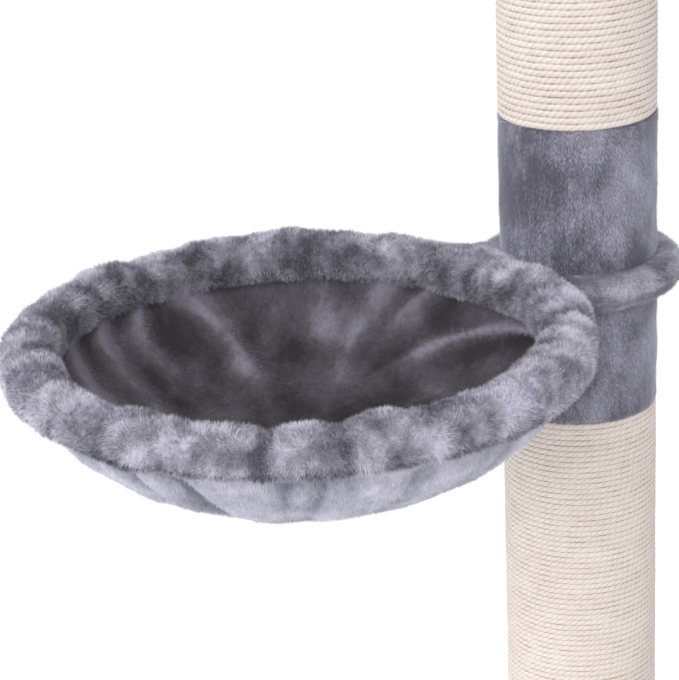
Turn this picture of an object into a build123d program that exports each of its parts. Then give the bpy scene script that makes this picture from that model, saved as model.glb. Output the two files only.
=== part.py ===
from build123d import *
import math
import os

os.makedirs("parts", exist_ok=True)

# Floor-to-ceiling cat tree with one swivelling hammock. Millimetres, +Z up. The origin is on
# the floor, on the axis of the post, and the hammock's arm points along -X.

# Base plate
base_width = 450
base_thickness = 18
base_corner_r = 25
base_pad_thickness = 3
base_pad_clearance = 2
cover_thickness = 3
cover_return = 25
cover_return_thickness = 2.5

# Post sections
post_count = 5
post_length = 440
tube_outer_r = 41.5
tube_wall = 4.5
plug_thickness = 18
plug_clearance = 0.1
wrap_clearance = 0.1
sleeve_thickness = 4.7
lower_sleeve_height = 85
upper_sleeve_height = 73

# Sisal: the post below the hammock and the one above it are wound with ropes of two gauges
thin_rope_d = 2.9
thick_rope_d = 3.3
turn_gap = 0.5
turns_shown = 24
rope_end_clearance = 0.2

# Fasteners
thread_r = 5
thread_clearance = 0.1
bolt_hole_clearance = 0.5
bolt_head_flats = 17
bolt_head_height = 6.4
washer_r = 12
washer_thickness = 2
counterbore_clearance = 1
counterbore_depth = 9
bolt_grip_beyond_nut = 3
tee_barrel_r = 6
tee_barrel_height = 12
tee_flange_r = 11
tee_flange_thickness = 1.5
tee_press_clearance = 0.05
stud_reach = 25

# Hammock
hammock_post = 2
ring_offset = 199
ring_inner_r = 134.5
ring_outer_r = 157.5
frame_thickness = 12
tab_r = 57
neck_fillet = 25
rim_top_height = 5
rim_drop = 2
rim_top_fillet = 9
rim_bottom_fillet = 6
post_seat_clearance = 0.7
bag_r = 145
bag_depth = 72
bag_cloth = 3
bag_layer_gap = 0.2
bag_lobes = 16
bag_lobe_height = 5
bag_roundness = 1.8
bag_levels = [0, 0.25, 0.5, 0.72, 0.88, 0.975]

# Ceiling tensioner
cap_thickness = 4
cap_boss_r = 20
cap_boss_height = 6
wheel_core_r = 31
wheel_lobe_r = 7
wheel_lobes = 8
wheel_height = 20
wheel_edge_fillet = 2.5
spindle_r = 8
spindle_length = 285
spindle_clearance = 0.1
head_gap = 105
flange_r = 35
flange_thickness = 3
screw_count = 4
screw_circle_r = 26
screw_r = 2
screw_length = 14
screw_head_r = 4
screw_head_height = 2.4
screw_clearance = 0.05
plate_r = 90
plate_thickness = 16
pad_thickness = 4
pad_margin = 2

# Heights that follow from the sizes above
base_bottom = base_pad_thickness
base_top = base_bottom + base_thickness
post_start = base_top + cover_thickness
tab_thickness = frame_thickness + 2 * cover_thickness
post_bottoms = []
height = post_start
for index in range(post_count):
    post_bottoms.append(height)
    height += post_length
    if index == hammock_post:
        height += tab_thickness
tab_bottom = post_bottoms[hammock_post] + post_length
tab_top = tab_bottom + tab_thickness
frame_bottom = tab_bottom + cover_thickness
rim_bottom = tab_bottom - rim_drop
rim_top = tab_top + rim_top_height
post_top = post_bottoms[-1] + post_length
cap_top = post_top + cap_thickness
boss_top = cap_top + cap_boss_height
wheel_top = boss_top + wheel_height
flange_bottom = wheel_top + head_gap
plate_bottom = flange_bottom + flange_thickness
plate_top = plate_bottom + plate_thickness
sleeve_inner_r = tube_outer_r + wrap_clearance
sleeve_outer_r = sleeve_inner_r + sleeve_thickness
tube_inner_r = tube_outer_r - tube_wall
bolt_hole_r = thread_r + bolt_hole_clearance
fit_bore_r = thread_r + thread_clearance
spindle_bore_r = spindle_r + spindle_clearance


def save(piece, name):
    """Labels a finished piece and writes it to its own file."""
    piece.part.label = name
    export_step(piece.part, f"parts/{name}.step")


def ring(bottom, top, outer_r, inner_r=0):
    """A plain disc, or a ring where it has a bore, about the post's axis."""
    with BuildPart() as piece:
        with BuildSketch(Plane.XY.offset(bottom)):
            Circle(outer_r)
            if inner_r > 0:
                Circle(inner_r, mode=Mode.SUBTRACT)
        extrude(amount=top - bottom)
    return piece


# Base: a square board with plush stretched over it and turned under its edge, on a pad of
# anti-slip felt that leaves the bolt's counterbore free
counterbore_r = washer_r + counterbore_clearance
counterbore_top = base_bottom + counterbore_depth
cover_width = base_width + 2 * cover_thickness
cover_bottom = base_bottom - cover_return_thickness
window_width = base_width - 2 * cover_return

with BuildPart() as base_board:
    with BuildSketch(Plane.XY.offset(base_bottom)):
        RectangleRounded(base_width, base_width, base_corner_r)
        Circle(bolt_hole_r, mode=Mode.SUBTRACT)
    extrude(amount=base_thickness)
    with BuildSketch(Plane.XY.offset(base_bottom)):
        Circle(counterbore_r)
    extrude(amount=counterbore_depth, mode=Mode.SUBTRACT)
save(base_board, "base_board")

with BuildPart() as base_cover:
    with BuildSketch(Plane.XY.offset(cover_bottom)):
        RectangleRounded(cover_width, cover_width, base_corner_r + cover_thickness)
    extrude(amount=post_start - cover_bottom)
    top_edges = base_cover.faces().sort_by(Axis.Z)[-1].edges()
    fillet(top_edges, radius=0.6 * cover_thickness)
    with BuildSketch(Plane.XY.offset(base_bottom)):
        RectangleRounded(base_width, base_width, base_corner_r)
    extrude(amount=base_thickness, mode=Mode.SUBTRACT)
    with BuildSketch(Plane.XY.offset(cover_bottom)):
        RectangleRounded(window_width, window_width, base_corner_r)
    extrude(amount=cover_return_thickness, mode=Mode.SUBTRACT)
    with BuildSketch(Plane.XY.offset(base_top)):
        Circle(bolt_hole_r)
    extrude(amount=cover_thickness, mode=Mode.SUBTRACT)
save(base_cover, "base_cover")

with BuildPart() as base_pad:
    pad_width = window_width - 2 * base_pad_clearance
    with BuildSketch():
        RectangleRounded(pad_width, pad_width, base_corner_r - base_pad_clearance)
        Circle(counterbore_r + base_pad_clearance, mode=Mode.SUBTRACT)
    extrude(amount=base_pad_thickness)
save(base_pad, "base_pad")

# The bolt that holds the first post, with its washer up against the counterbore's roof
washer_bottom = counterbore_top - washer_thickness
bolt_top = post_start + plug_thickness + tee_flange_thickness + bolt_grip_beyond_nut
save(ring(washer_bottom, counterbore_top, washer_r, bolt_hole_r), "base_washer")

with BuildPart() as base_bolt:
    with BuildSketch(Plane.XY.offset(washer_bottom - bolt_head_height)):
        RegularPolygon(radius=bolt_head_flats / 2, side_count=6, major_radius=False)
    extrude(amount=bolt_head_height)
    with BuildSketch(Plane.XY.offset(washer_bottom)):
        Circle(thread_r)
    extrude(amount=bolt_top - washer_bottom)
save(base_bolt, "base_bolt")


# A winding is one rope on a helix. Each half turn is a biarc: two circular arcs that meet at
# the point q, so that the rope is smooth along its whole length.
def helix_point(radius, pitch, start, angle):
    """A point of the rope's centre line, and its direction there."""
    spot = Vector(radius * math.cos(angle), radius * math.sin(angle))
    spot += Vector(0, 0, start + pitch * angle / (2 * math.pi))
    heading = Vector(-radius * math.sin(angle), radius * math.cos(angle), pitch / (2 * math.pi))
    return spot, heading.normalized()


def wound_rope(radius, rope_d, start):
    """The rope's turns, from their lower end at the height start."""
    pitch = rope_d + turn_gap
    with BuildPart() as piece:
        with BuildLine() as path:
            first, heading = helix_point(radius, pitch, start, 0)
            Line(first - heading * rope_d, first)
            for half_turn in range(2 * turns_shown):
                p, p_way = helix_point(radius, pitch, start, half_turn * math.pi)
                r, r_way = helix_point(radius, pitch, start, (half_turn + 1) * math.pi)
                span = r - p
                both = p_way + r_way
                bend = 2 * (1 - p_way.dot(r_way))
                root = math.sqrt(span.dot(both) ** 2 + bend * span.dot(span))
                reach = (root - span.dot(both)) / bend
                near = p + p_way * reach
                far = r - r_way * reach
                q = (near + far) * 0.5
                TangentArc(p, q, tangent=p_way)
                TangentArc(q, r, tangent=far - near)
            Line(r, r + r_way * rope_d)
        with BuildSketch(Plane(origin=first - heading * rope_d, z_dir=heading)):
            Circle(rope_d / 2)
        sweep(path=path.wire())
    return piece, path.wire()


def least_gap(wire, rope_d):
    """The smallest clear distance between one turn and the rest of the winding."""
    per_turn = 24
    count = per_turn * turns_shown
    points = [wire.position_at(i / count) for i in range(count + 1)]
    least = math.inf
    for i, point in enumerate(points):
        for other in points[i + per_turn // 2 : i + 3 * per_turn // 2]:
            least = min(least, (other - point).length - rope_d)
    return least


def winding_height(rope_d):
    """The height on the post that the shown turns take, with the clearance at both ends."""
    return turns_shown * (rope_d + turn_gap) + rope_d + 2 * rope_end_clearance


# Posts: a cardboard tube with a plug in each end, plush sleeves on its ends and rope between
for index, bottom in enumerate(post_bottoms):
    name = f"post_{index + 1}"
    top = bottom + post_length
    last = index == post_count - 1
    rope_d = thick_rope_d if index > hammock_post else thin_rope_d
    rope_bottom = bottom + lower_sleeve_height
    rope_top = top - upper_sleeve_height
    plug_r = tube_inner_r - plug_clearance
    plug_bore_r = tee_barrel_r + tee_press_clearance
    top_bore_r = spindle_bore_r if last else plug_bore_r

    save(ring(bottom, top, tube_outer_r, tube_inner_r), f"{name}_tube")
    save(ring(bottom, bottom + plug_thickness, plug_r, plug_bore_r), f"{name}_lower_plug")
    save(ring(top - plug_thickness, top, plug_r, top_bore_r), f"{name}_upper_plug")
    save(ring(bottom, rope_bottom, sleeve_outer_r, sleeve_inner_r), f"{name}_lower_sleeve")
    save(ring(rope_top, top, sleeve_outer_r, sleeve_inner_r), f"{name}_upper_sleeve")

    # Beside the hammock the rope's own turns are shown, on the side where the hammock is
    wound_height = winding_height(rope_d)
    if index in (hammock_post, hammock_post + 1):
        if index == hammock_post:
            rope_top -= wound_height
            wound_bottom = rope_top
        else:
            wound_bottom = rope_bottom
            rope_bottom += wound_height
        wound_start = wound_bottom + rope_end_clearance + rope_d / 2
        turns, turns_path = wound_rope(sleeve_inner_r + rope_d / 2, rope_d, wound_start)
        save(turns, f"{name}_rope_turns")
        print(f"{name}_rope_turns least gap to itself: {least_gap(turns_path, rope_d):.3f} mm")
    save(ring(rope_bottom, rope_top, sleeve_inner_r + rope_d, sleeve_inner_r), f"{name}_rope")

# Studs that join one post to the next, and the tee nuts in the plugs that they screw into
with BuildPart() as connecting_studs:
    for lower, upper in zip(post_bottoms, post_bottoms[1:]):
        stud_bottom = lower + post_length - stud_reach
        with BuildSketch(Plane.XY.offset(stud_bottom)):
            Circle(thread_r)
        extrude(amount=upper + stud_reach - stud_bottom)
save(connecting_studs, "connecting_studs")

with BuildPart() as tee_nuts:
    seats = [(bottom + plug_thickness, 1) for bottom in post_bottoms]
    seats += [(bottom + post_length - plug_thickness, -1) for bottom in post_bottoms[:-1]]
    for seat, inward in seats:
        with BuildSketch(Plane.XY.offset(seat)):
            Circle(tee_flange_r)
            Circle(fit_bore_r, mode=Mode.SUBTRACT)
        extrude(amount=inward * tee_flange_thickness)
        with BuildSketch(Plane.XY.offset(seat)):
            Circle(tee_barrel_r)
            Circle(fit_bore_r, mode=Mode.SUBTRACT)
        extrude(amount=-inward * tee_barrel_height)
save(tee_nuts, "tee_nuts")


# Hammock: a flat board of a ring and a round tab, clamped between two posts at the tab
def frame_outline(level, growth, stud_hole_r):
    """The board's outline at a height, larger by growth all round."""
    with BuildSketch(Plane.XY.offset(level)) as outline:
        Circle(tab_r + growth)
        with Locations((-ring_offset, 0)):
            Circle(ring_outer_r + growth)
        corners = outline.vertices().filter_by(lambda v: abs(v.Y) > 1)
        fillet(corners, radius=neck_fillet - growth)
        with Locations((-ring_offset, 0)):
            Circle(ring_inner_r - growth, mode=Mode.SUBTRACT)
        if stud_hole_r > 0:
            Circle(stud_hole_r, mode=Mode.SUBTRACT)
    return outline.sketch


with BuildPart() as hammock_frame:
    add(frame_outline(frame_bottom, 0, fit_bore_r))
    extrude(amount=frame_thickness)
save(hammock_frame, "hammock_frame")

# The padded plush cover: flat on the tab, and a rounded rim around the ring. The rim is cut
# away round the post, where the post sections press on the tab.
with BuildPart() as hammock_cover:
    rim_inner_r = ring_inner_r - cover_thickness
    rim_outer_r = ring_outer_r + cover_thickness
    with BuildSketch(Plane.XZ):
        with BuildLine():
            Polyline(
                (-ring_offset + rim_inner_r, rim_bottom),
                (-ring_offset + rim_outer_r, rim_bottom),
                (-ring_offset + rim_outer_r, rim_top),
                (-ring_offset + rim_inner_r, rim_top),
                close=True,
            )
        section = make_face()
        fillet(section.vertices().group_by(Axis.Y)[0], radius=rim_bottom_fillet)
        upper_corners = section.vertices().group_by(Axis.Y)[-1]
        fillet(upper_corners, radius=rim_top_fillet)
    revolve(axis=Axis((-ring_offset, 0, 0), (0, 0, 1)))
    for seat, way in ((tab_top, 1), (tab_bottom, -1)):
        with BuildSketch(Plane.XY.offset(seat)):
            Circle(sleeve_outer_r + post_seat_clearance)
        extrude(amount=way * (rim_top_height + rim_drop), mode=Mode.SUBTRACT)
    add(frame_outline(tab_bottom, cover_thickness, 0))
    extrude(amount=tab_thickness)
    add(frame_outline(frame_bottom, wrap_clearance, 0))
    extrude(amount=frame_thickness, mode=Mode.SUBTRACT)
    with BuildSketch(Plane.XY.offset(tab_bottom)):
        Circle(fit_bore_r)
    extrude(amount=tab_thickness, mode=Mode.SUBTRACT)
save(hammock_cover, "hammock_cover")


# The hanging bag: an outer cloth and a lining, gathered into folds under the rim
def bag_form(inset):
    """The space inside the bag's outer face, or inside a face that lies inset within it."""
    with BuildPart() as form:
        for level in bag_levels:
            fall = (bag_depth - inset) * level
            share = (1 - level**bag_roundness) ** (1 / bag_roundness)
            section_r = (bag_r - inset) * share
            lobe = bag_lobe_height * (1 - level) ** 1.5
            step = math.pi / bag_lobes
            with BuildSketch(Plane(origin=(-ring_offset, 0, rim_bottom - fall))):
                with BuildLine():
                    for k in range(2 * bag_lobes):
                        a = (k - 0.5) * step
                        crest_r = section_r + (lobe if k % 2 else -lobe)
                        ThreePointArc(
                            (section_r * math.cos(a), section_r * math.sin(a)),
                            (crest_r * math.cos(a + step / 2), crest_r * math.sin(a + step / 2)),
                            (section_r * math.cos(a + step), section_r * math.sin(a + step)),
                        )
                make_face()
        loft()
    return form.part


with BuildPart() as hammock_bag:
    add(bag_form(0))
    add(bag_form(bag_cloth), mode=Mode.SUBTRACT)
save(hammock_bag, "hammock_bag")

with BuildPart() as hammock_lining:
    add(bag_form(bag_cloth + bag_layer_gap))
    add(bag_form(2 * bag_cloth + bag_layer_gap), mode=Mode.SUBTRACT)
save(hammock_lining, "hammock_lining")

# Ceiling tensioner: a hand wheel, threaded inside, turns on the cap and drives the spindle
with BuildPart() as top_cap:
    with BuildSketch(Plane.XY.offset(post_top)):
        Circle(sleeve_outer_r)
        Circle(spindle_bore_r, mode=Mode.SUBTRACT)
    extrude(amount=cap_thickness)
    with BuildSketch(Plane.XY.offset(cap_top)):
        Circle(cap_boss_r)
        Circle(spindle_bore_r, mode=Mode.SUBTRACT)
    extrude(amount=cap_boss_height)
save(top_cap, "top_cap")

with BuildPart() as tension_wheel:
    with BuildSketch(Plane.XY.offset(boss_top)):
        Circle(wheel_core_r)
        with PolarLocations(wheel_core_r, wheel_lobes):
            Circle(wheel_lobe_r)
    extrude(amount=wheel_height)
    outer_faces = tension_wheel.faces().filter_by(Axis.Z)
    fillet(outer_faces.edges(), radius=wheel_edge_fillet)
    with BuildSketch(Plane.XY.offset(boss_top)):
        Circle(spindle_bore_r)
    extrude(amount=wheel_height, mode=Mode.SUBTRACT)
save(tension_wheel, "tension_wheel")

save(ring(flange_bottom - spindle_length, flange_bottom, spindle_r), "spindle")

with BuildPart() as spindle_flange:
    with BuildSketch(Plane.XY.offset(flange_bottom)):
        Circle(flange_r)
        with PolarLocations(screw_circle_r, screw_count):
            Circle(screw_r + screw_clearance, mode=Mode.SUBTRACT)
    extrude(amount=flange_thickness)
save(spindle_flange, "spindle_flange")

with BuildPart() as ceiling_screws:
    with BuildSketch(Plane.XY.offset(flange_bottom - screw_head_height)):
        with PolarLocations(screw_circle_r, screw_count):
            Circle(screw_head_r)
    extrude(amount=screw_head_height)
    with BuildSketch(Plane.XY.offset(flange_bottom)):
        with PolarLocations(screw_circle_r, screw_count):
            Circle(screw_r)
    extrude(amount=screw_length)
save(ceiling_screws, "ceiling_screws")

with BuildPart() as ceiling_plate:
    with BuildSketch(Plane.XY.offset(plate_bottom)):
        Circle(plate_r)
    extrude(amount=plate_thickness)
    with BuildSketch(Plane.XY.offset(plate_bottom)):
        with PolarLocations(screw_circle_r, screw_count):
            Circle(screw_r + screw_clearance)
    extrude(amount=screw_length - flange_thickness, mode=Mode.SUBTRACT)
save(ceiling_plate, "ceiling_plate")

with BuildPart() as ceiling_cover:
    with BuildSketch(Plane.XY.offset(plate_bottom - cover_thickness)):
        Circle(plate_r + cover_thickness)
        Circle(flange_r + wrap_clearance, mode=Mode.SUBTRACT)
    extrude(amount=cover_thickness)
    with BuildSketch(Plane.XY.offset(plate_bottom)):
        Circle(plate_r + cover_thickness)
        Circle(plate_r, mode=Mode.SUBTRACT)
    extrude(amount=plate_thickness)
save(ceiling_cover, "ceiling_cover")

save(ring(plate_top, plate_top + pad_thickness, plate_r - pad_margin), "ceiling_pad")
print(f"Height from floor to ceiling: {plate_top + pad_thickness:.1f} mm")
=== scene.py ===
import math

import bpy
import numpy as np
from mathutils import Matrix, Vector


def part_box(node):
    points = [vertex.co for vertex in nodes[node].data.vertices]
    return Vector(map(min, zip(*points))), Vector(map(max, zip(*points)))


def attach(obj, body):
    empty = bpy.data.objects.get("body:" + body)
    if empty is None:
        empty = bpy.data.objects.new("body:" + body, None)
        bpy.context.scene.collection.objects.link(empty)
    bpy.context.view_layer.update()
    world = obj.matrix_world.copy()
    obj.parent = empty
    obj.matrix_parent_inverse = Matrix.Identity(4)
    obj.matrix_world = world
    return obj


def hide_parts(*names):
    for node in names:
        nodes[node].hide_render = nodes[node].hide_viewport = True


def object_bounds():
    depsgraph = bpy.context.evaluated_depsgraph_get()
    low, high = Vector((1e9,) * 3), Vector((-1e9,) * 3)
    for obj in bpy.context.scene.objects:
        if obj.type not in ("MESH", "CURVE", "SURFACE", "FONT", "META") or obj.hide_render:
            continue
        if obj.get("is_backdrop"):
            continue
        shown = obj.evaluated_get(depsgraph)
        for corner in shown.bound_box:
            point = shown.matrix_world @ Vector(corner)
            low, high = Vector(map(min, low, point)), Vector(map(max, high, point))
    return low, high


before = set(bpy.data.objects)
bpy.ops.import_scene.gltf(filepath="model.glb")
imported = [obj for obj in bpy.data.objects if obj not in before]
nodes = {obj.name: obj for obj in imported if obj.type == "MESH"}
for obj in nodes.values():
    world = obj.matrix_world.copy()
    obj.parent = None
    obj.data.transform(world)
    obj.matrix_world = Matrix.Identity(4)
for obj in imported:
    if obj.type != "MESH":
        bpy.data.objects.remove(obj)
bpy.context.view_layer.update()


# Fibreboard. The base board, the plugs in the tubes, the hammock's frame and the ceiling plate
# are cut from it. It is pressed wood fibre: fawn, with darker flecks and a dull, dry surface.
def finish(name, roughness, **sockets):
    """A material with one Principled shader: returns the material, its node tree and the shader."""
    material = bpy.data.materials.new(name)
    material.use_nodes = True
    shader = material.node_tree.nodes["Principled BSDF"]
    shader.inputs["Roughness"].default_value = roughness
    for socket, value in sockets.items():
        shader.inputs[socket.replace("_", " ")].default_value = value
    return material, material.node_tree, shader


def node(tree, kind, inputs=(), **settings):
    """A shader node of a kind. Its inputs are numbers, or outputs of other nodes, in order."""
    made = tree.nodes.new("ShaderNode" + kind)
    for key, value in settings.items():
        setattr(made, key, value)
    for socket, value in zip(made.inputs, inputs):
        if isinstance(value, bpy.types.NodeSocket):
            tree.links.new(value, socket)
        elif value is not None:
            socket.default_value = value
    return made.outputs[0]


def tone(red, green, blue):
    """A colour given as on a screen, 0 to 255, in the renderer's linear light."""
    parts = (c / 255 for c in (red, green, blue))
    return (*(c / 12.92 if c < 0.04045 else ((c + 0.055) / 1.055) ** 2.4 for c in parts), 1)


def grain(tree, size, stretch=(1, 1, 1), detail=4, rough=0.6):
    """Noise on the piece's own coordinates, with features about size metres across."""
    place = tree.nodes.new("ShaderNodeTexCoord").outputs["Object"]
    placed = node(tree, "Mapping", (place, None, None, stretch))
    noise = tree.nodes.new("ShaderNodeTexNoise")
    noise.inputs["Scale"].default_value = 1 / size
    noise.inputs["Detail"].default_value = detail
    noise.inputs["Roughness"].default_value = rough
    tree.links.new(placed, noise.inputs["Vector"])
    return noise.outputs["Fac"]


def shades(tree, factor, *stops):
    """Colours along a factor. Each stop is a position and a colour."""
    ramp = tree.nodes.new("ShaderNodeValToRGB")
    while len(ramp.color_ramp.elements) < len(stops):
        ramp.color_ramp.elements.new(0.5)
    for element, (position, colour) in zip(ramp.color_ramp.elements, stops):
        element.position = position
        element.color = colour
    tree.links.new(factor, ramp.inputs["Fac"])
    return ramp.outputs["Color"]


def raised(tree, shader, height, distance, strength=1.0):
    """Raises the surface by a height of 0 to 1 times a distance in metres."""
    bump = tree.nodes.new("ShaderNodeBump")
    bump.inputs["Strength"].default_value = strength
    bump.inputs["Distance"].default_value = distance
    tree.links.new(height, bump.inputs["Height"])
    tree.links.new(bump.outputs["Normal"], shader.inputs["Normal"])


def flecked(name, dark, light, size, roughness, relief, stretch=(1, 1, 1), **sockets):
    """A finish whose colour and relief come from one noise."""
    material, tree, shader = finish(name, roughness, **sockets)
    factor = grain(tree, size, stretch)
    tree.links.new(shades(tree, factor, (0.3, dark), (0.7, light)), shader.inputs["Base Color"])
    raised(tree, shader, factor, relief)
    return material


def coat(material, *names):
    """Gives parts of the frame a finish."""
    for name in names:
        mesh = nodes[name].data
        mesh.materials.clear()
        mesh.materials.append(material)


fibreboard = flecked("fibreboard", tone(150, 118, 84), tone(188, 154, 114), 0.0012, 0.85, 0.0002)
posts = [f"post_{number}" for number in range(1, 6)]
coat(fibreboard, "base_board", "hammock_frame", "ceiling_plate")
coat(fibreboard, *(f"{post}_{end}_plug" for post in posts for end in ("lower", "upper")))


# Steel fittings. The bolt, washer, tee nuts and studs, and above them the spindle's flange and
# the wood screws, are zinc-plated steel: grey with a blue cast, fine scratches and a soft shine.
zinc, tree, shader = finish("zinc_plate", 0.34, Metallic=1.0)
scratches = grain(tree, 0.0015, (1, 1, 12), 6)
blush = grain(tree, 0.012)
zinc_colour = shades(tree, blush, (0.3, tone(176, 181, 186)), (0.7, tone(206, 209, 210)))
tree.links.new(zinc_colour, shader.inputs["Base Color"])
dulled = node(tree, "MapRange", (scratches, 0.3, 0.7, 0.26, 0.44))
tree.links.new(dulled, shader.inputs["Roughness"])
raised(tree, shader, scratches, 0.00004)
coat(zinc, "base_bolt", "base_washer", "tee_nuts", "connecting_studs")
coat(zinc, "spindle_flange", "ceiling_screws")


# Base pad. A square of dark grey needle felt is glued under the base, inside the turned-in
# edge of the cover, and lets the bolt's head through in the middle. The tree stands on it.
def full_turn(steps):
    """Angles all the way round, in equal steps."""
    return np.linspace(0, 2 * np.pi, steps, endpoint=False)


def mesh_piece(name, points, faces, material, lay=None):
    """A smooth mesh from an n by 3 array of points and a list of face arrays, m by 3 or m by 4.
    lay gives each point two numbers, kept as the UV map that the finishes read."""
    mesh = bpy.data.meshes.new(name)
    sides = np.concatenate([np.full(len(part), part.shape[1]) for part in faces])
    corners = np.concatenate([np.asarray(part).ravel() for part in faces]).astype(np.int32)
    mesh.vertices.add(len(points))
    mesh.vertices.foreach_set("co", np.ascontiguousarray(points, dtype=np.float32).ravel())
    mesh.loops.add(len(corners))
    mesh.loops.foreach_set("vertex_index", corners)
    mesh.polygons.add(len(sides))
    starts = np.concatenate([[0], np.cumsum(sides)[:-1]]).astype(np.int32)
    mesh.polygons.foreach_set("loop_start", starts)
    mesh.polygons.foreach_set("use_smooth", np.ones(len(sides), dtype=bool))
    mesh.update(calc_edges=True)
    if lay is not None:
        layer = mesh.uv_layers.new(name="lay")
        layer.uv.foreach_set("vector", lay[corners].astype(np.float32).ravel())
    mesh.materials.append(material)
    piece = bpy.data.objects.new(name, mesh)
    bpy.context.collection.objects.link(piece)
    return piece


def grid_quads(rows, columns, loop=False):
    """Quads of a grid of points whose columns close into a ring, and with loop its rows too."""
    r, c = np.meshgrid(np.arange(rows - (not loop)), np.arange(columns), indexing="ij")
    below, beside = (r + 1) % rows, (c + 1) % columns
    corners = (r * columns + c, r * columns + beside, below * columns + beside, below * columns + c)
    return np.stack(corners, axis=-1).reshape(-1, 4)


def square_outline(angle, half, corner):
    """How far a square with round corners reaches from its centre at each angle: to the side,
    half / max(|cos|, |sin|), or where the ray leaves the circle of the corner."""
    ray = np.abs(np.stack([np.cos(angle), np.sin(angle)]))
    side = half / ray.max(axis=0)
    middle = half - corner
    toward = ray.sum(axis=0) * middle
    arc = toward + np.sqrt(np.maximum(toward**2 - 2 * middle**2 + corner**2, 0))
    return np.where((ray * side).min(axis=0) > middle, arc, side)


def rounded_section(inner, outer, bottom, top, edge, steps, corner_steps):
    """The section of a flat piece with a rounded outer edge, from its inner edge out along the
    bottom, round two quarter circles of radius edge, and back along the top. inner and outer
    are distances from the piece's axis, one for each angle round it. A row of the result is
    one step along the section, with its distance from the axis at each angle and its height."""
    out = np.linspace(0, 1, steps)
    quarter = np.linspace(-np.pi / 2, 0, corner_steps)
    run = inner + (outer - edge - inner) * out[:, None]
    lower = outer - edge + edge * np.cos(quarter)[:, None]
    reach = np.concatenate([run, lower, lower[::-1], run[::-1]])
    rise = bottom + edge + edge * np.sin(quarter)
    fall = top - edge - edge * np.sin(quarter)[::-1]
    height = np.concatenate([np.full(steps, bottom), rise, fall, np.full(steps, top)])
    return reach, np.broadcast_to(height[:, None], reach.shape)


def around(centre, angle, reach, height):
    """Points at a distance and a height round an upright axis."""
    x = centre[0] + reach * np.cos(angle)
    y = centre[1] + reach * np.sin(angle)
    return np.stack([x, y, np.broadcast_to(height, x.shape)], axis=-1)


felt = flecked(
    "felt", tone(58, 58, 62), tone(92, 92, 97), 0.0008, 0.95, 0.0004, Sheen_Weight=0.3
)
pad_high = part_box("base_pad")[1]
bolt_hole_r = 0.015
base_steps = 240
angle = full_turn(base_steps)
pad_reach, pad_height = rounded_section(
    np.full(base_steps, bolt_hole_r), square_outline(angle, half=pad_high.x, corner=0.023),
    bottom=0, top=pad_high.z, edge=0.0008, steps=4, corner_steps=4,
)
base_pad = mesh_piece(
    "base_felt",
    around((0, 0), angle, pad_reach, pad_height).reshape(-1, 3),
    [grid_quads(len(pad_reach), base_steps, loop=True)],
    felt,
)
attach(base_pad, "root")
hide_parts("base_pad")


# Base cover. The board is upholstered like a drum: grey plush is pulled over its top and round
# its edges, and stapled to its underside. The first post stands on it.
def unit(vectors):
    """Vectors made one long."""
    return vectors / np.maximum(np.linalg.norm(vectors, axis=-1, keepdims=True), 1e-9)


def waves(points, size, seed, count=7):
    """A smooth random field of about -1 to 1: the mean of a few sines, each of its own direction
    and phase, with wavelengths of 0.6 to 1.6 times size."""
    random = np.random.default_rng(seed)
    ways = unit(random.normal(size=(count, 3)))
    ways /= size * random.uniform(0.6, 1.6, count)[:, None]
    phases = random.uniform(0, 2 * np.pi, count)
    return np.sin(points @ ways.T * 2 * np.pi + phases).sum(-1) * 1.6 / count


def grid_normals(points):
    """The direction away from a grid surface at each point: the cross product of the steps to
    its neighbours along the columns and along the rows."""
    beside = np.roll(points, -1, axis=1) - np.roll(points, 1, axis=1)
    return unit(np.cross(beside, np.gradient(points, axis=0)))


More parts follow.
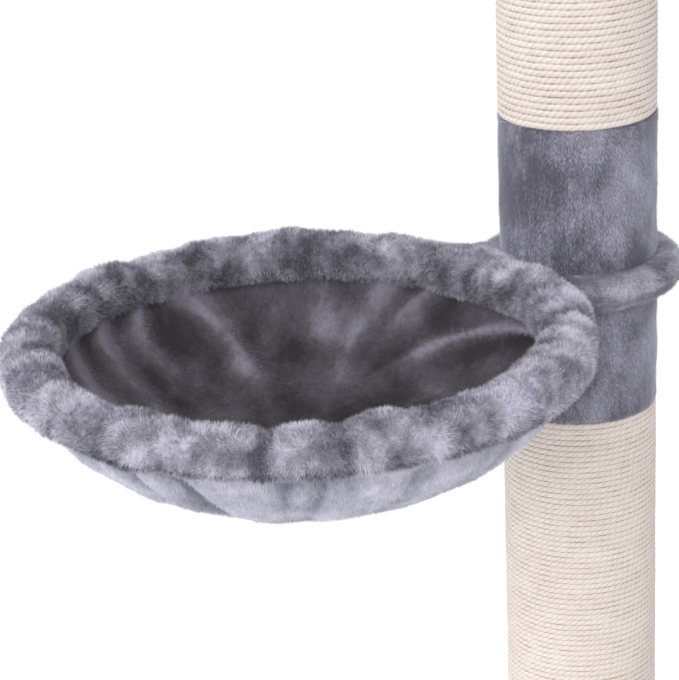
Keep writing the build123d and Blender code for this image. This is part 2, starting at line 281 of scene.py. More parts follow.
def pile(
    name, points, lay, material, seed, density, length, width, stand, tuft=0.3, tone_and_painted_light=None, sleek=0.0
):
    """Plush pile on a grid surface: density fibres a square metre, rooted at places drawn by
    area. A fibre is a slim blade, width at the root and length long. It points between the
    surface's normal, by the share stand, and the lay, a direction along the surface, and waves
    turn neighbours alike by the share tuft. A shift given at each grid point raises or lowers
    the fibres' shade, for their own tone and for painted light and shade, and sleek turns
    their shading towards the surface's own."""
    random = np.random.default_rng(seed)
    rows, columns = points.shape[:2]
    normals = grid_normals(points)
    beside = np.roll(points, -1, axis=1) - points
    onward = np.roll(points, -1, axis=0) - points
    cell = np.linalg.norm(np.cross(beside, onward), axis=-1)
    cell[-1] = 0
    share = cell.ravel() / cell.sum()
    count = int(cell.sum() * density)
    r, c = np.divmod(random.choice(share.size, count, p=share), columns)
    s, t = random.random((2, count, 1))

    def at(field):
        """A grid's values at the fibres' roots, between its four nearest points."""
        near = field[r, c] * (1 - s) + field[r, (c + 1) % columns] * s
        far = field[(r + 1) % rows, c] * (1 - s) + field[(r + 1) % rows, (c + 1) % columns] * s
        return near * (1 - t) + far * t

    root, out = at(points), unit(at(normals))
    lie = at(np.broadcast_to(lay, points.shape))
    lie = unit(lie - out * (lie * out).sum(-1, keepdims=True))
    turn = np.stack([waves(root, 0.0035, seed + k) for k in (1, 2, 3)], axis=-1)
    drift = np.stack([waves(root, 0.025, seed + k) for k in (4, 5, 6)], axis=-1)
    way = out * stand + lie * (1 - stand) + tuft * (turn + 0.8 * drift)
    way = unit(way + random.normal(0, 0.2, (count, 3)))
    way = unit(way + out * np.maximum(0.15 - (way * out).sum(-1, keepdims=True), 0))
    across = unit(np.cross(way, out)) * width / 2
    long = length * random.uniform(0.7, 1.15, (count, 1))
    root = root - out * 0.0004
    corners = np.stack([root - across, root + across, root + way * long], axis=1).reshape(-1, 3)
    shade = random.random(count)
    if tone_and_painted_light is not None:
        shade += at(tone_and_painted_light[..., None])[:, 0]
    lay_map = np.stack([np.repeat(shade, 3), np.tile([0.0, 0.0, 1.0], count)], axis=-1)
    fibres = mesh_piece(name, corners, [np.arange(3 * count).reshape(-1, 3)], material, lay_map)
    if sleek:
        facing = unit(np.cross(across, way))
        facing *= np.sign((facing * out).sum(-1, keepdims=True))
        facing = unit(out * sleek + facing * (1 - sleek))
        fibres.data.normals_split_custom_set_from_vertices(np.repeat(facing, 3, axis=0))
    return fibres


def cloth_map(tone_and_painted_light):
    """The map of the cloth under a pile: the pile's own tone and painted light, seen low down in
    it, where painted shade makes it darker.
    """
    return np.stack([0.5 + tone_and_painted_light, np.full(tone_and_painted_light.shape, 0.2)], axis=-1).reshape(-1, 2)


def lay_parts(tree):
    """The map that mesh_piece keeps, whole and as its two numbers."""
    lay_map = tree.nodes.new("ShaderNodeUVMap")
    lay_map.uv_map = "lay"
    parts = tree.nodes.new("ShaderNodeSeparateXYZ")
    tree.links.new(lay_map.outputs["UV"], parts.inputs[0])
    return lay_map.outputs["UV"], parts.outputs["X"], parts.outputs["Y"]


def plush(
    name, dark, middle, light, patch=0.03, streak=(1, 1, 0.2), sheen=0.4, contrast=1.3, root_shade=0.45
):
    """Plush: its tone rises with patches of about patch metres, by the share contrast, with a
    fine streak, with each fibre's own shade, and by the share given last from its root to its
    tip, which is painted shade low in the pile."""
    material, tree, shader = finish(
        name, 0.85, Sheen_Weight=sheen, Sheen_Roughness=0.45, Sheen_Tint=(0.66, 0.65, 0.78, 1)
    )
    _, fibre_shade, fibre_height = lay_parts(tree)
    patches = grain(tree, patch, (1, 1, 0.8), 2, 0.5)
    level = node(tree, "Math", (patches, contrast, 0.2 - contrast / 2), operation="MULTIPLY_ADD")
    streaks = grain(tree, 0.004, streak, 3)
    level = node(tree, "Math", (streaks, 0.4, level), operation="MULTIPLY_ADD")
    level = node(tree, "Math", (fibre_shade, 0.3, level), operation="MULTIPLY_ADD")
    # Fibres darker at the root than at the tip: painted shade low in the pile.
    level = node(tree, "Math", (fibre_height, root_shade, level), operation="MULTIPLY_ADD")
    colour = shades(tree, level, (0.3, dark), (0.72, middle), (1.0, light))
    tree.links.new(colour, shader.inputs["Base Color"])
    return material


def thicken(piece, depth):
    """Gives a cloth its thickness."""
    piece.modifiers.new("cloth", "SOLIDIFY").thickness = depth


board_plush = plush("board_plush", tone(84, 83, 94), tone(122, 121, 134), tone(160, 159, 170))
cover_low, cover_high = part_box("base_cover")
flat_steps = 30
turned_in_from = 0.198
reach, height = rounded_section(
    np.full(base_steps, 0.012), square_outline(angle, half=cover_high.x - 0.0008, corner=0.028),
    bottom=cover_low.z + 0.0006, top=cover_high.z - 0.0008, edge=0.004, steps=flat_steps,
    corner_steps=6,
)
first = np.argmax(reach[:flat_steps].min(axis=1) > turned_in_from)
reach, height = reach[first:], height[first:]
cover_points = around((0, 0), angle, reach, height)
lumps = waves(cover_points, 0.05, 21) * np.clip((reach - 0.06) / 0.05, 0, 1)
on_top = height > 0.02
cover_points[..., 2] += 0.0004 * lumps * on_top
base_cover = mesh_piece(
    "base_plush", cover_points.reshape(-1, 3), [grid_quads(len(reach), base_steps)], board_plush
)
thicken(base_cover, 0.0015)
off_floor = height.min(axis=1) > 0.004
cover_pile = pile(
    "base_pile", cover_points[off_floor], (0.5, 0.8, -0.6), board_plush, seed=22,
    density=0.28e6, length=0.0032, width=0.00055, stand=0.35,
)
for piece in (base_cover, cover_pile):
    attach(piece, "root")
    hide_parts("base_cover")


# Tubes. Each post section is a spiral-wound tube of kraft board, with the edge of each strip
# a faint slanting line. Rope and plush cover it all over, and the plugs are pressed in its ends.
cardboard, tree, shader = finish("cardboard", 0.8)
place = tree.nodes.new("ShaderNodeTexCoord").outputs["Object"]
slanted = node(tree, "Mapping", (place, None, (0.5, 0, 0)))
strips = tree.nodes.new("ShaderNodeTexWave")
strips.bands_direction = "Z"
strips.inputs["Scale"].default_value = 4
strips.inputs["Distortion"].default_value = 0.6
tree.links.new(slanted, strips.inputs["Vector"])
kraft = shades(
    tree, strips.outputs["Fac"], (0.0, tone(140, 112, 80)), (0.12, tone(176, 146, 108))
)
tree.links.new(kraft, shader.inputs["Base Color"])
raised(tree, shader, grain(tree, 0.002), 0.0002)
coat(cardboard, *(f"{post}_tube" for post in posts))


# Sisal. Each section is wound with a pale, dry three-strand rope, from one plush sleeve to the
# other. Its strands lie aslant, painted shade darkens the gaps between its turns here and there
# and its colour between strands, and loose fibres stand off it. The two sections above the
# hammock have a thicker rope.
sisal, tree, shader = finish("sisal", 0.75, Sheen_Weight=0.25, Sheen_Roughness=0.5)
rope_map, along_rope, round_rope = lay_parts(tree)
strands = 3
strand_length = 0.0115
uneven = grain(tree, 0.009, detail=2)
phase = node(tree, "Math", (along_rope, strands / strand_length), operation="MULTIPLY")
phase = node(tree, "Math", (round_rope, -strands, phase), operation="MULTIPLY_ADD")
phase = node(tree, "Math", (uneven, 1.5, phase), operation="MULTIPLY_ADD")
phase = node(tree, "Math", (phase, 2 * math.pi), operation="MULTIPLY")
strand = node(tree, "Math", (phase,), operation="COSINE")
strand = node(tree, "Math", (strand, 0.14, 0.44), operation="MULTIPLY_ADD")
fibre_place = node(tree, "Mapping", (rope_map, None, None, (700, 12, 1)))
fibre_noise = tree.nodes.new("ShaderNodeTexNoise")
fibre_noise.inputs["Scale"].default_value = 1
fibre_noise.inputs["Detail"].default_value = 5
tree.links.new(fibre_place, fibre_noise.inputs["Vector"])
fibre_relief = fibre_noise.outputs["Fac"]
strand_relief = node(tree, "Math", (fibre_relief, 0.6, strand), operation="MULTIPLY_ADD")
raised(tree, shader, strand_relief, 0.0005, 0.8)
batch = node(tree, "Math", (grain(tree, 0.03, (1, 1, 4), 3), 0.5, -0.25), operation="MULTIPLY_ADD")
# The colour follows the strands' relief, lighter on their crowns: painted shade between the
# strands. The fibres and the batch add the rope's own tone.
strand_shade = node(tree, "Math", (strand_relief, batch))
# Painted shade in the gaps where neighbouring turns meet, deeper here and there.
off_middle = node(tree, "Math", (round_rope,), operation="ABSOLUTE")
gap_shade = node(tree, "MapRange", (off_middle, 0.1, 0.155, 0, 1))
gap_shade_strength = node(tree, "MapRange", (grain(tree, 0.007, detail=2), 0.35, 0.65, -0.15, -0.75))
strand_shade = node(tree, "Math", (gap_shade, gap_shade_strength, strand_shade), operation="MULTIPLY_ADD")
# The darkest stop is the colour of that painted shade.
rope_colour = shades(
    tree, strand_shade,
    (0.05, tone(160, 140, 128)), (0.5, tone(211, 197, 188)), (1.0, tone(234, 226, 221)),
)
tree.links.new(rope_colour, shader.inputs["Base Color"])
sisal_fibre = flecked("sisal_fibre", tone(212, 196, 174), tone(246, 238, 226), 0.004, 0.7, 0.0001)

tube_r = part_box("post_1_tube")[1].x
# Angles round the rope's own section, closer together outside. The map's seam is at the back.
rope_section = np.radians([-180, -100, -64, -32, 0, 32, 64, 100])
rope_pitches = (0.0034, 0.0034, 0.0034, 0.0038, 0.0038)


def winding(name, bottom, top, pitch, steps, seed):
    """A rope's turns round the tube. Its line is the helix (R cos a, R sin a, pitch a / 2 pi) and
    its section an oval, both made a little uneven by waves. steps is how many points a turn
    has. The map counts metres along the rope one way and turns round it the other way."""
    half = 0.515 * pitch
    turns = (top - bottom - 2 * half) / pitch
    a = np.linspace(0, 2 * np.pi * turns, int(turns * steps))
    reach = tube_r + half
    line = around((0, 0), a, reach, bottom + half + pitch * a / (2 * np.pi))
    rise = 0.035 * pitch * waves(line, 0.022, seed)
    slack = 0.04 * pitch * waves(line, 0.03, seed + 1)
    ends = np.minimum(np.arange(len(a)), len(a) - 1 - np.arange(len(a)))
    thick = half * (1 + 0.05 * waves(line, 0.012, seed + 2)) * np.clip(ends / 3, 0.02, 1)
    out = (reach + slack)[:, None] + thick[:, None] * np.cos(rope_section)
    up = (line[:, 2] + rise)[:, None] + 1.2 * thick[:, None] * np.sin(rope_section)
    points = around((0, 0), a[:, None], out, up).reshape(-1, 3)
    lay = np.broadcast_arrays((a * reach)[:, None], rope_section / (2 * np.pi))
    lay = np.stack(lay, axis=-1)
    quads = grid_quads(len(a), len(rope_section))[:, ::-1]
    return mesh_piece(name, points, [quads], sisal, lay.reshape(-1, 2))


def loose_fibres(name, bottom, top, reach, count, seed):
    """Single fibres that have worked loose: slim triangles that leave the rope aslant."""
    random = np.random.default_rng(seed)
    a = random.uniform(0, 2 * np.pi, count)
    slant = random.normal(0, 0.5, (count, 1))
    long = random.uniform(0.003, 0.011, (count, 1))
    out = around((0, 0), a, 1.0, 0.0)
    side = np.cross((0, 0, 1.0), out) * random.choice([-1, 1], (count, 1))
    root = out * (reach - 0.0005) + random.uniform(bottom, top, (count, 1)) * (0, 0, 1)
    way = side * np.cos(slant) + np.sin(slant) * (0, 0, 1)
    tip = root + long * (way + out * random.uniform(0.05, 0.55, (count, 1)))
    tip[:, 2] = np.clip(tip[:, 2], bottom, top)
    across = np.cross(way, out) * 0.00011
    corners = np.stack([root - across, root + across, tip], axis=1).reshape(-1, 3)
    return mesh_piece(name, corners, [np.arange(3 * count).reshape(-1, 3)], sisal_fibre)


for number, (post, pitch) in enumerate(zip(posts, rope_pitches), start=1):
    beside_hammock = number in (3, 4)
    under_sleeve = 0.8 * pitch
    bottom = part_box(f"{post}_lower_sleeve")[1].z - under_sleeve
    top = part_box(f"{post}_upper_sleeve")[0].z + under_sleeve
    steps = 84 if beside_hammock else 44
    rope = winding(f"{post}_winding", bottom, top, pitch, steps, seed=10 * number)
    hidden = [f"{post}_rope", f"{post}_rope_turns"][: 1 + beside_hammock]
    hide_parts(*hidden)
    count = 2600 if beside_hammock else 900
    fibres = loose_fibres(f"{post}_fibres", bottom, top, tube_r + pitch, count, seed=number)
    for piece in (rope, fibres):
        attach(piece, "root")


# Sleeves. A band of short grey plush, its edges turned in, is glued round each end of a section
# and hides the rope's ends. The pile is stroked down in streaks, with darker fingered patches.
sleeve_plush = plush(
    "sleeve_plush", tone(72, 70, 84), tone(128, 126, 142), tone(186, 184, 200), sheen=1.0,
    contrast=1.6,
)
sleeve_steps = 180
angle = full_turn(sleeve_steps)
wall_rows = 20
sleeves = [(post, end) for post in posts for end in ("lower", "upper")]
for number, (post, end) in enumerate(sleeves):
    name = f"{post}_{end}_sleeve"
    beside_hammock = name in ("post_3_upper_sleeve", "post_4_lower_sleeve")
    low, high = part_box(name)
    bare_r = high.x - 0.0012
    reach, height = rounded_section(
        np.full(sleeve_steps, tube_r + 0.0002), np.full(sleeve_steps, bare_r), low.z, high.z,
        edge=0.0028, steps=2, corner_steps=6,
    )
    wall = len(reach) // 2
    middle = np.linspace(height[wall - 1, 0], height[wall, 0], wall_rows + 2)[1:-1]
    reach = np.insert(reach, wall, np.full((wall_rows, sleeve_steps), bare_r), axis=0)
    height = np.insert(height, wall, np.repeat(middle[:, None], sleeve_steps, axis=1), axis=0)
    points = around((0, 0), angle, reach, height)
    outer = reach > tube_r + 0.001
    points[..., :2] *= 1 + (0.011 * waves(points, 0.03, 40 + number) * outer)[..., None]
    sleeve = mesh_piece(
        f"{name}_cloth", points.reshape(-1, 3),
        [grid_quads(len(reach), sleeve_steps, loop=True)], sleeve_plush,
    )
    nap = pile(
        f"{name}_nap", points[1:-1], (0, 0, -1), sleeve_plush, seed=60 + 10 * number,
        density=3.3e6 if beside_hammock else 0.8e6, length=0.003,
        width=0.0003 if beside_hammock else 0.00055, stand=0.22, tuft=0.12, sleek=0.6,
    )
    for piece in (sleeve, nap):
        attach(piece, "root")
        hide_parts(name)


# Hammock tab and rim. One plush cover is sewn round the frame: flat over the tab, which the two
# sections clamp, and over a roll of padding round the ring. Its pile is long and fluffy, and
# creases cross the roll where the cloth is gathered.
ring_x = -0.199
ring_r = 0.146
frame_low, frame_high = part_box("hammock_frame")
rim_middle = 0.0015 + (frame_low.z + frame_high.z) / 2
rim_plush = plush(
    "rim_plush", tone(80, 78, 90), tone(166, 164, 177), tone(218, 216, 229), patch=0.02,
    streak=(1, 1, 1), sheen=0.7,
)
# Where the creases are, in degrees round the ring: the large ones that show, then others.
seen_creases = np.array(
    [-164.9, -152.1, -150.3, -132, -121.5, -117.2, -107.4, -93.6, -72.9, 98, 110.7, 124.2, 49, 20.7]
)
random = np.random.default_rng(7)
other_creases = np.arange(-60, 180, 9.5) + random.uniform(-3, 3, 26)
creases = np.concatenate([seen_creases, other_creases[np.abs(other_creases) > 24]])
crease_depths = random.uniform(0.0012, 0.0026, len(creases))
crease_depths[:9] = (0.002, 0.003, 0.002, 0.006, 0.003, 0.004, 0.0025, 0.003, 0.0025)
crease_slants = random.uniform(-5, 5, len(creases))
rim_rows, rim_steps = 44, 540
turn = full_turn(rim_steps)
section = np.linspace(-np.pi, np.pi, rim_rows, endpoint=False)[:, None]
slanted = turn[None, :, None] + np.radians(crease_slants) * np.sin(section)[..., None]
away = np.degrees(slanted) - creases
away = np.abs((away + 180) % 360 - 180)
# Each crease is a groove, as deep as exp(-|x| / 2.2) with x in degrees along the ring.
groove = (crease_depths * np.exp(-((away**2 + 0.16) ** 0.5) / 2.2)).sum(-1)
roll_r = 0.012
plain = around((ring_x, 0), turn, ring_r + roll_r * np.cos(section), roll_r * np.sin(section))
puff = 0.0012 + 0.002 * waves(plain, 0.05, 31) + 0.0008 * waves(plain, 0.014, 32)
swell = 1 + (puff - groove) / roll_r
wide = 0.0132 * np.sign(np.cos(section)) * np.abs(np.cos(section)) ** 0.85
tall = 0.0118 * np.sign(np.sin(section)) * np.abs(np.sin(section)) ** 0.85
tuck = 1 - 0.16 * np.exp(-(((turn - np.radians(165)) / 0.5) ** 2)) * (section < 0.4)
wide, tall = wide * swell * tuck, tall * swell * tuck + 0.0012 * waves(plain, 0.16, 33)
# The roll stays outside the frame board in it, 23 by 12 mm, whose middle is 1.5 mm lower.
board_half_width, board_half_height = 0.0124, 0.0071
share = np.maximum(
    np.abs(wide) / board_half_width, np.abs(tall + 0.0015) / board_half_height
)
free = np.maximum(1, 1 / share)
rim_points = around((ring_x, 0), turn, ring_r + wide * free, rim_middle + tall * free)
# The seam with the bag runs round the roll's lower outer side. Painted shade makes it darker along
# that line and from there down, under the roll.
shade_line_at, shade_band_end = -0.62, -2.2
roll_underside_shade = np.exp(-(((section - shade_line_at) / 0.15) ** 2))
roll_underside_shade = roll_underside_shade + 0.6 * (section < shade_line_at) * (section > shade_band_end)
roll_underside_shade = roll_underside_shade * (0.85 + 0.4 * waves(plain, 0.02, 39))
facing_in = (-np.cos(section)).clip(0)
# Painted shade: darker in the creases, on the roll's inner side and under it; the waves are the
# plush's own tone.
rim_painted_shade_and_tone = 0.36 - groove / 0.003 + 0.34 * waves(plain, 0.012, 38) - 0.75 * facing_in - 0.8 * roll_underside_shade
rim = mesh_piece(
    "rim_roll", rim_points.reshape(-1, 3), [grid_quads(rim_rows, rim_steps, loop=True)], rim_plush,
    cloth_map(rim_painted_shade_and_tone),
)
away_from_ring = rim_points - around((ring_x, 0), turn, ring_r, rim_middle)
swirl = np.stack([waves(rim_points, 0.03, seed) for seed in (34, 35, 36)], axis=-1)
rim_lay = unit(0.8 * away_from_ring / 0.013 + 0.7 * swirl)
rim_piles = [
    pile(
        f"rim_pile_{side}", rim_points[rows], rim_lay[rows], rim_plush, seed=100 + rows[0],
        density=3.3e6, length=0.004, width=0.00036, stand=0.66, tuft=0.42, tone_and_painted_light=rim_painted_shade_and_tone[rows],
        sleek=0.3,
    )
    for side, rows in (("outer", np.r_[13:34]), ("inner", np.r_[33:44, 0:14]))
]

# The tab's outline, from its middle: its own circle, the fillet of the neck and the rim.
tab_low, tab_high = 1.3445, 1.3615
tab_steps = 240
angle = np.linspace(-np.pi, np.pi, tab_steps, endpoint=False)
tab_r, rim_r, neck_r = 0.0592, 0.1597, 0.0228
neck_x = ((rim_r + neck_r) ** 2 - ring_x**2 - (tab_r + neck_r) ** 2) / (-2 * ring_x)
neck_y = ((tab_r + neck_r) ** 2 - neck_x**2) ** 0.5
neck_from = math.atan2(neck_y, neck_x)
on_ring = rim_r / (rim_r + neck_r)
neck_to = math.atan2(neck_y * on_ring, ring_x + (neck_x - ring_x) * on_ring)
toward_neck = neck_x * np.cos(angle) + neck_y * np.abs(np.sin(angle))
to_neck = (neck_r**2 - neck_x**2 - neck_y**2 + toward_neck**2).clip(0) ** 0.5
toward_ring = ring_x * np.cos(angle)
to_ring = (ring_r**2 - ring_x**2 + toward_ring**2).clip(0) ** 0.5
outline = np.select(
    [np.abs(angle) < neck_from, np.abs(angle) < neck_to], [tab_r, toward_neck - to_neck],
    toward_ring - to_ring,
)
reach, height = rounded_section(
    np.full(tab_steps, 0.04), outline, tab_low, tab_high, edge=0.006, steps=12, corner_steps=7
)
tab_points = around((0, 0), angle, reach, height)
tab_puff = np.clip((reach - 0.047) / 0.006, 0, 1) * 0.0006 * waves(tab_points, 0.02, 37)
tab_points[..., 2] += tab_puff * np.sign(height - 1.353)
tab = mesh_piece(
    "tab_cover", tab_points.reshape(-1, 3), [grid_quads(len(reach), tab_steps, loop=True)],
    rim_plush,
)
tab_pile = pile(
    "tab_pile", tab_points[1:-1], unit(tab_points[1:-1] * (1, 1, 0)), rim_plush, seed=103,
    density=3.4e6, length=0.0034, width=0.0003, stand=0.35, tuft=0.25,
)
for piece in (rim, *rim_piles, tab, tab_pile):
    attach(piece, "hammock")
    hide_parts("hammock_cover")


# Hanging bag. A round of plush is gathered into the rim and hangs from it as a shallow bowl.
# The gathers run down it as overlapping folds, sharp on one side, that fade towards the bottom.
# The folds: where each starts at the rim, in degrees, how far it leans by the bottom, its
# depth, and the side that is steep.
fold_angles = np.array(
    [-176, -166, -155, -128, -119, -98, -72, -55, -38, -22, 20, 33, 50, 84, 98, 110.7, 124.2, 142,
     160, 176]
)
fold_slants = np.array(
    [4, 9, 14, -3, -6, -9, -8, 5, 9, 66, 20, 12, -5, -17, 2, 3, 3, -6, 5, -4]
)
fold_depths = 0.001 * np.array(
    [3, 6, 8, 3, 4, 2.5, 2.5, 2, 2, 9, 7, 5, 3, 8, 6, 6, 5, 3, 3, 2.5]
)
fold_sides = np.array([1, 1, 1, -1, 1, -1, 1, -1, 1, 1, 1, 1, -1, -1, 1, 1, 1, -1, 1, -1])
bag_top = 1.342


def bowl(radius, depth, lift, rows, columns, blunt):
    """The bag's surface, from the bottom up. Its section is a superellipse, with radius times
    cos q ** (2 / n) and depth times sin q ** (2 / n), and above it a short straight wall of
    height lift inside the rim. Each fold is a groove along a slanting line. It has a steep side
    and a slack one, it fades out towards the bottom, and blunt rounds its edge. Returns the
    points, how far each is in a fold, and how far in the hollow beside one."""
    q = np.linspace(np.pi / 2, 0, rows - 4)[:, None]
    n = 1.8
    reach = radius * np.cos(q).clip(1e-4) ** (2 / n)
    drop = -depth * np.sin(q).clip(0) ** (2 / n)
    reach = np.concatenate([reach, np.full((4, 1), radius)])
    drop = np.concatenate([drop, lift * np.linspace(0.25, 1, 4)[:, None]])
    down = np.clip(-drop / depth, 0, 1)
    turn = full_turn(columns)
    line = np.radians(fold_angles + fold_slants * down[..., None] ** 0.7)
    away = (turn[None, :, None] - line + np.pi) % (2 * np.pi) - np.pi
    away *= reach[..., None] * fold_sides
    sharp = np.sqrt(away**2 + blunt**2) - blunt
    steep = np.exp(-sharp / np.where(away > 0, 0.0035 + blunt, 0.017))
    fade = np.clip(1.15 - down, 0, 1) ** 0.8 * np.clip(reach / radius * 2.2 - 0.7, 0, 1)
    plain = around((ring_x, 0), turn, reach, bag_top + drop)
    depth_here = (fold_depths * steep).max(-1) * fade + 0.0018 * fade * waves(plain, 0.05, 51)
    # creased and shadow only set painted light: shade in the bag's folds, and on the lining pale
    # ridges with shadow beside them.
    strong = fold_depths / 0.005
    wide = np.where(away > 0, 0.0022, 0.01) + 1.5 * blunt
    creased = (strong * np.exp(-sharp / wide)).max(-1) * fade
    shadow = (strong * np.exp(-(((away + 0.02) / 0.014) ** 2))).max(-1) * fade
    slope = np.broadcast_arrays(reach / radius, -drop.clip(None, 0) / depth)
    slope = unit(np.stack(slope, axis=-1))
    dented = reach - depth_here * slope[..., 0]
    height = bag_top + drop + depth_here * slope[..., 1]
    return around((ring_x, 0), turn, dented, height), creased, shadow


def closed_bowl(name, points, material, tone_and_painted_light):
    """The bag's surface as a mesh, its first row, at the bottom, closed to one point."""
    rows, columns = points.shape[:2]
    flat = np.concatenate([points[1:].reshape(-1, 3), points[0].mean(axis=0)[None]])
    pole = len(flat) - 1
    beside = np.arange(columns)
    fan = np.stack([np.full(columns, pole), (beside + 1) % columns, beside], axis=-1)
    lay = cloth_map(np.append(tone_and_painted_light[1:].ravel(), tone_and_painted_light[0, 0]))
    return mesh_piece(name, flat, [grid_quads(rows - 1, columns), fan], material, lay)


# Set lighter than the rim's plush: painted light on the belly.
bag_plush = plush(
    "bag_plush", tone(118, 117, 133), tone(194, 192, 207), tone(234, 232, 244), patch=0.028,
    streak=(1, 1, 0.5), sheen=0.6, contrast=0.9,
)
bag_points, creased, _ = bowl(
    radius=0.1435, depth=0.0705, lift=0.008, rows=46, columns=460, blunt=0.0004
)
# Painted shade in the folds: darker where the cloth is creased.
bag_painted_crease_shade = -1.7 * creased
bag = closed_bowl("bag_cloth", bag_points, bag_plush, bag_painted_crease_shade)
thicken(bag, 0.0012)
bag_pile = pile(
    "bag_pile", bag_points[3:], (0.15, 0.1, -1), bag_plush, seed=104, density=1.8e6,
    length=0.0034, width=0.00034, stand=0.26, tuft=0.2, tone_and_painted_light=bag_painted_crease_shade[3:], sleek=0.4,
)
for piece in (bag, bag_pile):
    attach(piece, "hammock")
    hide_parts("hammock_bag")


# Lining. A second round of plush, shorter in the pile, lies in the bag and is sewn into the rim
# with it. Its colours are set darker than the bag's, as painted shade inside the bowl. The same
# gathers show on it from the other side as ridges, painted pale, with painted shadow beside them.
# Set darker than the bag's plush: painted shade inside the bowl.
lining_plush = plush(
    "lining_plush", tone(44, 40, 44), tone(86, 82, 90), tone(134, 131, 145), patch=0.035,
    streak=(1, 1, 0.6), sheen=0.15, contrast=1.4, root_shade=0.5,
)
lining_points, creased, shadow = bowl(
    radius=0.1405, depth=0.0665, lift=0.01, rows=46, columns=420, blunt=0.0025
)
# Painted light: pale ridges, shadow beside them and darker deeper in the bowl, with waves of the
# plush's own tone.
lining_painted_light_and_tone = -0.36 + 1.3 * creased - 0.9 * shadow + 0.2 * (lining_points[..., 2] - 1.31) / 0.03
lining_painted_light_and_tone += 0.2 * waves(lining_points, 0.024, 53)
lining = closed_bowl("lining_cloth", lining_points, lining_plush, lining_painted_light_and_tone)
lining.data.flip_normals()
thicken(lining, 0.0012)
lining_pile = pile(
    "lining_pile", lining_points[:3:-1], (0.2, 0.3, -1), lining_plush, seed=105, density=1.3e6,
    length=0.0028, width=0.00034, stand=0.35, tuft=0.25, tone_and_painted_light=lining_painted_light_and_tone[:3:-1], sleek=0.3,
)
for piece in (lining, lining_pile):
    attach(piece, "hammock")
    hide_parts("hammock_lining")


# Cap and hand wheel. Both are moulded in dark grey plastic with a fine spark-eroded grain. The
# cap sits on the top section, and the lobed wheel on it has the spindle's thread inside.
coat(
    flecked("moulded_plastic", tone(50, 51, 55), tone(62, 63, 68), 0.0006, 0.5, 0.00006),
    "top_cap", "tension_wheel",
)


# Spindle. A steel rod with a trapezoidal thread of 4 mm pitch, screwed through the wheel. Turning
# the wheel drives it up, and the plate on it against the ceiling.
spindle_low, spindle_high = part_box("spindle")
thread_pitch = 0.004
crest_r, root_r = 0.008, 0.0066
thread_steps = 28
# One turn of the thread: how far up each point is, as a share of the pitch, and its radius.
step_up = np.array([0, 0.22, 0.4, 0.62, 0.8])
step_r = np.array([crest_r, crest_r, root_r, root_r, crest_r])
count = int((spindle_high.z - spindle_low.z) / thread_pitch) + 3
step = np.arange(-1, count)[:, None] + step_up
angle = full_turn(thread_steps)
height = spindle_low.z + thread_pitch * (step.reshape(-1, 1) + angle / (2 * np.pi))
reach = np.broadcast_to(np.tile(step_r, len(step))[:, None], height.shape)
inside = np.clip(height, spindle_low.z, spindle_high.z)
reach = np.where(inside == height, reach, root_r)
kept = (inside > spindle_low.z).any(axis=1) & (inside < spindle_high.z).any(axis=1)
first, last = np.flatnonzero(kept)[[0, -1]]
rows = np.r_[first - 1, first : last + 1, last + 1]
points = around((0, 0), angle, reach[rows], inside[rows])
ends = np.array([[0, 0, spindle_low.z], [0, 0, spindle_high.z]])
flat = np.concatenate([points.reshape(-1, 3), ends])
here = np.arange(thread_steps)
beside = (here + 1) % thread_steps
top_row = (len(rows) - 1) * thread_steps
bottom_fan = np.stack([np.full(thread_steps, len(flat) - 2), beside, here], axis=-1)
top_fan = np.full(thread_steps, len(flat) - 1), top_row + here, top_row + beside
spindle = mesh_piece(
    "spindle_thread", flat,
    [grid_quads(len(rows), thread_steps), bottom_fan, np.stack(top_fan, axis=-1)], zinc,
)
spindle.modifiers.new("edges", "EDGE_SPLIT").split_angle = math.radians(40)
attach(spindle, "ceiling_head")
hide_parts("spindle")


# Ceiling head. The plate is upholstered in the same plush as the base, with the steel flange
# screwed on below, and a disc of ribbed black rubber is glued on top to grip the ceiling.
cover_low, cover_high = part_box("ceiling_cover")
flange_r = 0.0355
head_steps = 200
flat_steps, edge_steps = 14, 6
angle = full_turn(head_steps)
reach, height = rounded_section(
    np.full(head_steps, flange_r), np.full(head_steps, cover_high.x - 0.0008),
    bottom=cover_low.z + 0.0006, top=cover_high.z - 0.0004, edge=0.004, steps=flat_steps,
    corner_steps=edge_steps,
)
points = around((0, 0), angle, reach, height)[: flat_steps + 2 * edge_steps]
ceiling_cover = mesh_piece(
    "ceiling_plush", points.reshape(-1, 3), [grid_quads(len(points), head_steps)], board_plush
)
thicken(ceiling_cover, 0.0015)
ceiling_pile = pile(
    "ceiling_pile", points[:-1], (0.5, 0.8, 0.1), board_plush, seed=106, density=0.7e6,
    length=0.0028, width=0.00045, stand=0.3,
)
for piece in (ceiling_cover, ceiling_pile):
    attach(piece, "ceiling_head")
    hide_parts("ceiling_cover")
rubber, tree, shader = finish("rubber", 0.7)
rings = tree.nodes.new("ShaderNodeTexWave")
rings.wave_type = "RINGS"
rings.rings_direction = "Z"
rings.inputs["Scale"].default_value = 80
tree.links.new(tree.nodes.new("ShaderNodeTexCoord").outputs["Object"], rings.inputs["Vector"])
raised(tree, shader, rings.outputs["Fac"], 0.0004)
dusty = shades(tree, grain(tree, 0.006), (0.3, tone(34, 34, 36)), (0.7, tone(52, 52, 54)))
tree.links.new(dusty, shader.inputs["Base Color"])
coat(rubber, "ceiling_pad")


# Setting. The tree stands on a plain pale floor that keeps its shadow, in soft light from a large
# lamp in front and above, with pale light all round. The camera looks down into the hammock.
def seen_directly(tree):
    """1 for rays from the camera, also by way of gloss or glass, and 0 for all others."""
    path = tree.nodes.new("ShaderNodeLightPath")
    seen = node(tree, "Math", (path.outputs["Is Camera Ray"], path.outputs["Is Glossy Ray"]))
    seen = node(tree, "Math", (seen, path.outputs["Is Transmission Ray"]))
    return node(tree, "Math", (seen, 1), operation="MINIMUM")


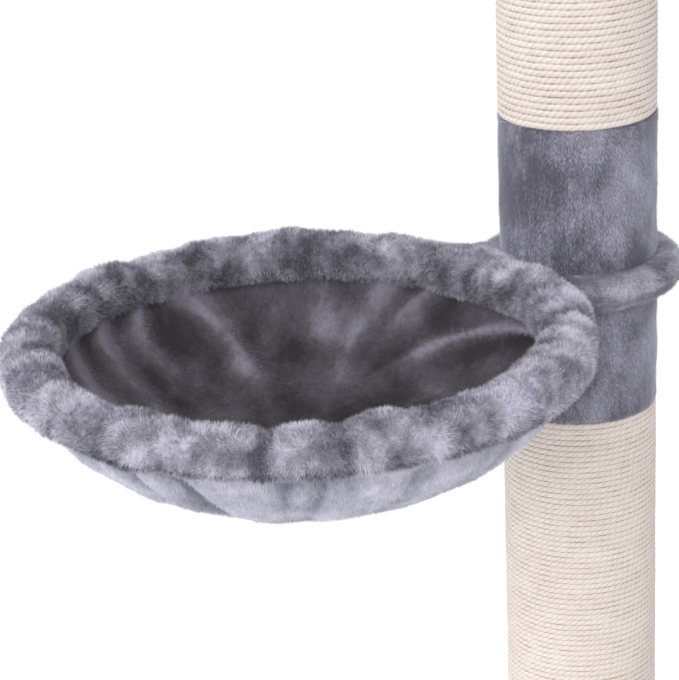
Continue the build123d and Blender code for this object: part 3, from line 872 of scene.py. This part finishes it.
floor_finish, tree, shader = finish("pale_floor", 0.9)
floor_tone = grain(tree, 0.4)
floor_colour = shades(tree, floor_tone, (0.3, tone(232, 232, 232)), (0.7, tone(238, 238, 238)))
tree.links.new(floor_colour, shader.inputs["Base Color"])
shader.inputs["Emission Color"].default_value = (1, 1, 1, 1)
lifted = node(tree, "Math", (seen_directly(tree), 0.5), operation="MULTIPLY")
tree.links.new(lifted, shader.inputs["Emission Strength"])
corners = 30.0 * np.array([[-1, -1, 0], [1, -1, 0], [1, 1, 0], [-1, 1, 0]])
floor = mesh_piece("floor", corners, [np.array([[0, 1, 2, 3]])], floor_finish)
floor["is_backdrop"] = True

world = bpy.data.worlds.new("pale_room")
bpy.context.scene.world = world
world.use_nodes = True
tree = world.node_tree
background = tree.nodes["Background"]
background.inputs["Color"].default_value = (1, 1, 1, 1)
strength = node(tree, "MapRange", (seen_directly(tree), 0, 1, 0.7, 1.0))
tree.links.new(strength, background.inputs["Strength"])

for name, place, size, energy in (
    ("front_lamp", (-2.4, -2.1, 3.0), 2.2, 72), ("side_lamp", (-1.95, 1.35, 1.5), 1.6, 18)
):
    lamp = bpy.data.objects.new(name, bpy.data.lights.new(name, "AREA"))
    lamp.data.shape = "DISK"
    lamp.data.size = size
    lamp.data.energy = energy
    lamp.location = place
    toward = Vector((-0.1, 0, 1.3)) - lamp.location
    lamp.rotation_euler = toward.to_track_quat("-Z", "Y").to_euler()
    bpy.context.collection.objects.link(lamp)

# The camera looks 21 degrees down, and is turned a little about its line of sight.
forward = Vector((0.54080556, 0.76098736, -0.35836795))
level = Vector((0.8151278, -0.57928117, 0))
upward = level.cross(forward)
roll = math.radians(-2.35)
right = level * math.cos(roll) + upward * math.sin(roll)
top = upward * math.cos(roll) - level * math.sin(roll)
camera = bpy.data.objects.new("camera", bpy.data.cameras.new("camera"))
camera.data.lens = 144.0
camera.data.sensor_width = 36
camera.matrix_world = Matrix.Translation((-0.9744, -1.1293, 1.8819)) @ Matrix(
    (right, top, -forward)
).transposed().to_4x4()
bpy.context.collection.objects.link(camera)
bpy.context.scene.camera = camera
bpy.context.scene.view_settings.view_transform = "Standard"

low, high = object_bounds()
